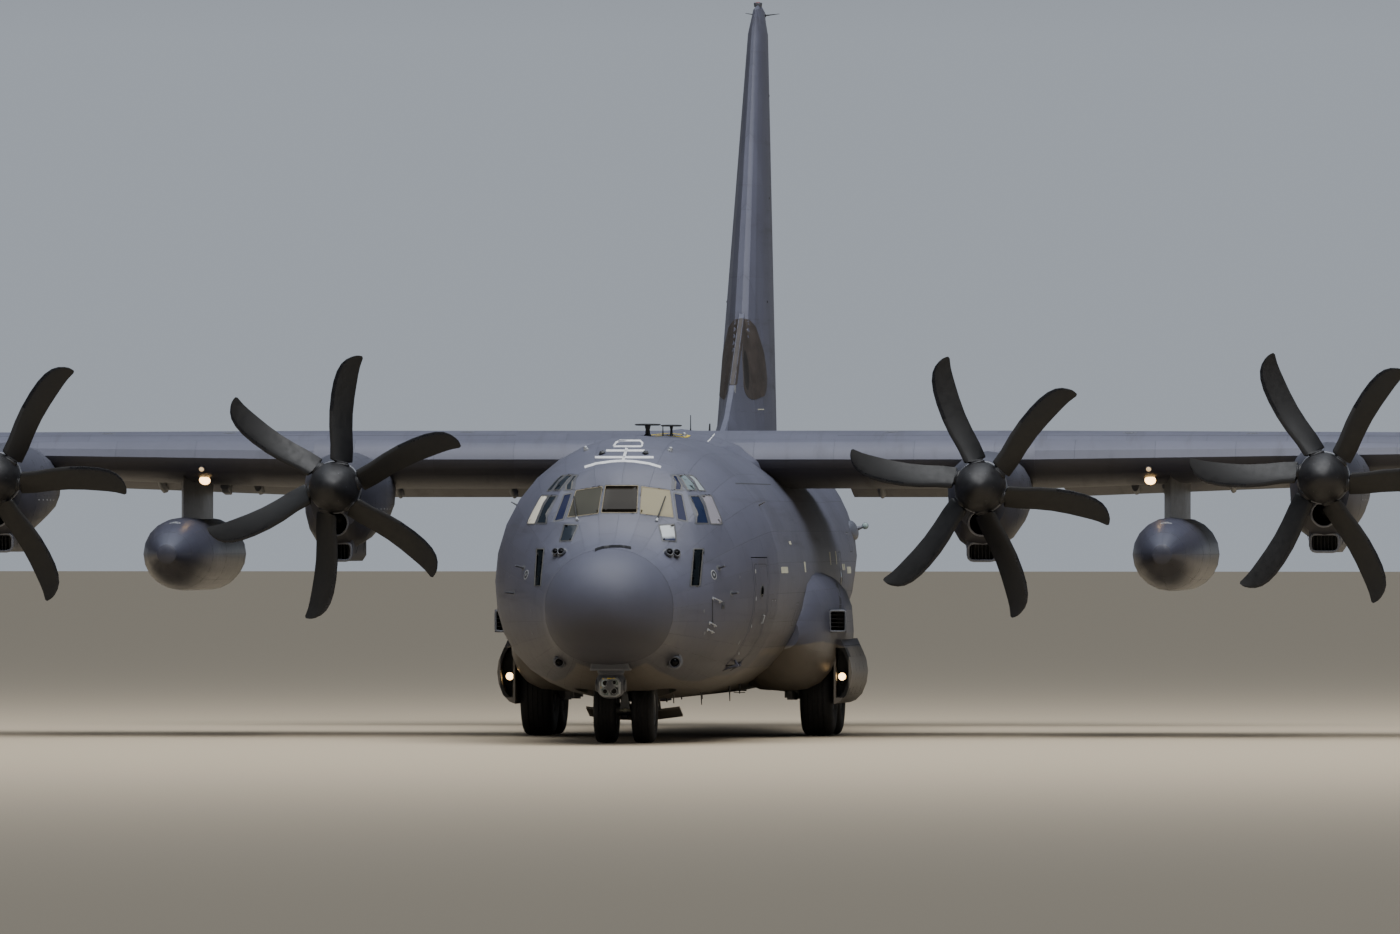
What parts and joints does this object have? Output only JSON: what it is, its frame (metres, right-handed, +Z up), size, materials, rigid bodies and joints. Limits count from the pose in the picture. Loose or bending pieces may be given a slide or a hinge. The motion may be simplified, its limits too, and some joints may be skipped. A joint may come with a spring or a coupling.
{
  "type": "four-engine turboprop military transport plane, 1:2 scale model",
  "caption": "High-wing military transport plane with turboprop engines, six-blade propellers, underwing tanks, side gear sponsons and an opening rear ramp and cargo door.",
  "frame": {"origin": "on the ground below the middle of the overall length and span", "axes": "+Y from the nose to the tail, +X to the aircraft's left, which is on the right as seen from the front, +Z up"},
  "size_m": [20.205, 14.8948, 5.92],
  "materials": {
    "body_paint": "satin dark grey paint",
    "wing_paint": "satin dark grey paint on aluminium",
    "tail_paint": "satin dark grey paint on a light structure",
    "propeller_paint": "satin near-black",
    "tyre": "matt black rubber",
    "gear_metal": "light grey gloss paint",
    "glazing": "clear tinted panes",
    "interior": "matt dark grey",
    "seat": "dark green-grey cloth",
    "engine_metal": "bare metal",
    "sensor": "light grey satin"
  },
  "bodies": {
    "airframe": {"wing_centre": "wing_paint", "wing_left": "wing_paint", "wing_right": "wing_paint", "radome": "body_paint", "nose_shell": "body_paint", "forward_shell": "body_paint", "centre_shell": "body_paint", "aft_shell": "body_paint", "troop_door_left": "body_paint", "troop_door_right": "body_paint", "cargo_floor": "interior", "flight_deck": "interior", "seat_left": "seat", "seat_right": "seat", "cockpit_glazing": "glazing", "fin": "tail_paint", "tailplane_left": "tail_paint", "tailplane_right": "tail_paint", "sponson_left": "wing_paint", "sponson_right": "wing_paint", "gear_door_left": "body_paint", "gear_door_right": "body_paint", "main_leg_left": "gear_metal", "main_leg_right": "gear_metal", "nose_leg": "gear_metal", "nose_door": "body_paint", "nacelle_inner_left": "body_paint", "engine_inner_left": "engine_metal", "nacelle_inner_right": "body_paint", "engine_inner_right": "engine_metal", "nacelle_outer_left": "body_paint", "engine_outer_left": "engine_metal", "nacelle_outer_right": "body_paint", "engine_outer_right": "engine_metal", "fuel_tank_left": "wing_paint", "fuel_tank_right": "wing_paint", "sensor_turret": "sensor"},
    "crew_door": {"crew_door": "body_paint"},
    "ramp": {"ramp": "body_paint"},
    "cargo_door": {"cargo_door": "body_paint"},
    "rudder": {"rudder": "tail_paint"},
    "elevator_left": {"elevator_left": "tail_paint"},
    "elevator_right": {"elevator_right": "tail_paint"},
    "aileron_left": {"aileron_left": "wing_paint"},
    "aileron_right": {"aileron_right": "wing_paint"},
    "flap_inner_left": {"flap_inner_left": "wing_paint"},
    "flap_inner_right": {"flap_inner_right": "wing_paint"},
    "flap_outer_left": {"flap_outer_left": "wing_paint"},
    "flap_outer_right": {"flap_outer_right": "wing_paint"},
    "propeller_inner_left": {"propeller_inner_left": "propeller_paint"},
    "propeller_inner_right": {"propeller_inner_right": "propeller_paint"},
    "propeller_outer_left": {"propeller_outer_left": "propeller_paint"},
    "propeller_outer_right": {"propeller_outer_right": "propeller_paint"},
    "nose_fork": {"nose_fork": "gear_metal"},
    "nose_wheels": {"nose_wheels": "tyre"},
    "main_wheel_front_left": {"main_wheel_front_left": "tyre"},
    "main_wheel_front_right": {"main_wheel_front_right": "tyre"},
    "main_wheel_rear_left": {"main_wheel_rear_left": "tyre"},
    "main_wheel_rear_right": {"main_wheel_rear_right": "tyre"}
  },
  "joints": [
    {"name": "propeller_inner_left_spin", "type": "hinge", "parent": "airframe", "child": "propeller_inner_left", "pos_m": [2.475, -2.9975, 1.92], "axis": [0, -1, 0], "continuous": true},
    {"name": "propeller_outer_left_spin", "type": "hinge", "parent": "airframe", "child": "propeller_outer_left", "pos_m": [5.09, -2.9975, 1.99], "axis": [0, -1, 0], "continuous": true},
    {"name": "propeller_inner_right_spin", "type": "hinge", "parent": "airframe", "child": "propeller_inner_right", "pos_m": [-2.475, -2.9975, 1.92], "axis": [0, -1, 0], "continuous": true},
    {"name": "propeller_outer_right_spin", "type": "hinge", "parent": "airframe", "child": "propeller_outer_right", "pos_m": [-5.09, -2.9975, 1.99], "axis": [0, -1, 0], "continuous": true},
    {"name": "nose_steering", "type": "hinge", "parent": "airframe", "child": "nose_fork", "pos_m": [0, -5.5375, 0.2475], "axis": [0, 0, 1], "range_deg": [-60, 60]},
    {"name": "nose_wheels_spin", "type": "hinge", "parent": "nose_fork", "child": "nose_wheels", "pos_m": [0, -5.5375, 0.2475], "axis": [1, 0, 0], "continuous": true},
    {"name": "main_wheel_front_left_spin", "type": "hinge", "parent": "airframe", "child": "main_wheel_front_left", "pos_m": [1.085, -1.0325, 0.3555], "axis": [1, 0, 0], "continuous": true},
    {"name": "main_wheel_rear_left_spin", "type": "hinge", "parent": "airframe", "child": "main_wheel_rear_left", "pos_m": [1.085, -0.2725, 0.3555], "axis": [1, 0, 0], "continuous": true},
    {"name": "main_wheel_front_right_spin", "type": "hinge", "parent": "airframe", "child": "main_wheel_front_right", "pos_m": [-1.085, -1.0325, 0.3555], "axis": [1, 0, 0], "continuous": true},
    {"name": "main_wheel_rear_right_spin", "type": "hinge", "parent": "airframe", "child": "main_wheel_rear_right", "pos_m": [-1.085, -0.2725, 0.3555], "axis": [1, 0, 0], "continuous": true},
    {"name": "crew_door_hinge", "type": "hinge", "parent": "airframe", "child": "crew_door", "pos_m": [0.81087, -5.1625, 0.5785], "axis": [0, 1, 0], "range_deg": [0, 105]},
    {"name": "ramp_hinge", "type": "hinge", "parent": "airframe", "child": "ramp", "pos_m": [0, 1.711, 0.334], "axis": [-1, 0, 0], "range_deg": [0, 28]},
    {"name": "cargo_door_hinge", "type": "hinge", "parent": "airframe", "child": "cargo_door", "pos_m": [0, 5.249, 1.635], "axis": [-1, 0, 0], "range_deg": [0, 25]},
    {"name": "rudder_hinge", "type": "hinge", "parent": "airframe", "child": "rudder", "pos_m": [0, 6.2712, 2.65], "axis": [0, 0.1139, 0.9935], "range_deg": [-35, 35]},
    {"name": "elevator_left_hinge", "type": "hinge", "parent": "airframe", "child": "elevator_left", "pos_m": [0.45, 6.26025, 2.165], "axis": [0.999, -0.0439, 0], "range_deg": [-20, 40]},
    {"name": "elevator_right_hinge", "type": "hinge", "parent": "airframe", "child": "elevator_right", "pos_m": [-0.45, 6.26025, 2.165], "axis": [0.999, 0.0439, 0], "range_deg": [-20, 40]},
    {"name": "aileron_left_hinge", "type": "hinge", "parent": "airframe", "child": "aileron_left", "pos_m": [6.1, 0.00354, 2.1481], "axis": [0.9962, -0.0838, 0.0237], "range_deg": [-20, 20]},
    {"name": "aileron_right_hinge", "type": "hinge", "parent": "airframe", "child": "aileron_right", "pos_m": [-6.1, 0.00354, 2.1481], "axis": [0.9962, 0.0838, -0.0237], "range_deg": [-20, 20]},
    {"name": "flap_inner_left_hinge", "type": "hinge", "parent": "airframe", "child": "flap_inner_left", "pos_m": [1.21, 0.31189, 1.81503], "axis": [-1, 0, 0], "range_deg": [-15, 21]},
    {"name": "flap_inner_right_hinge", "type": "hinge", "parent": "airframe", "child": "flap_inner_right", "pos_m": [-1.21, 0.31189, 1.81503], "axis": [-1, 0, 0], "range_deg": [-15, 21]},
    {"name": "flap_outer_left_hinge", "type": "hinge", "parent": "airframe", "child": "flap_outer_left", "pos_m": [2.86999, 0.30541, 1.81603], "axis": [-0.9962, 0.0862, -0.0137], "range_deg": [-15, 21]},
    {"name": "flap_outer_right_hinge", "type": "hinge", "parent": "airframe", "child": "flap_outer_right", "pos_m": [-2.86999, 0.30541, 1.81603], "axis": [-0.9962, -0.0862, 0.0137], "range_deg": [-15, 21]}
  ],
  "couplings": [
    {"joint": "elevator_right_hinge", "follows": "elevator_left_hinge", "ratio": 1},
    {"joint": "aileron_right_hinge", "follows": "aileron_left_hinge", "ratio": -1},
    {"joint": "flap_inner_right_hinge", "follows": "flap_inner_left_hinge", "ratio": 1},
    {"joint": "flap_outer_left_hinge", "follows": "flap_inner_left_hinge", "ratio": 1},
    {"joint": "flap_outer_right_hinge", "follows": "flap_inner_left_hinge", "ratio": 1}
  ]
}
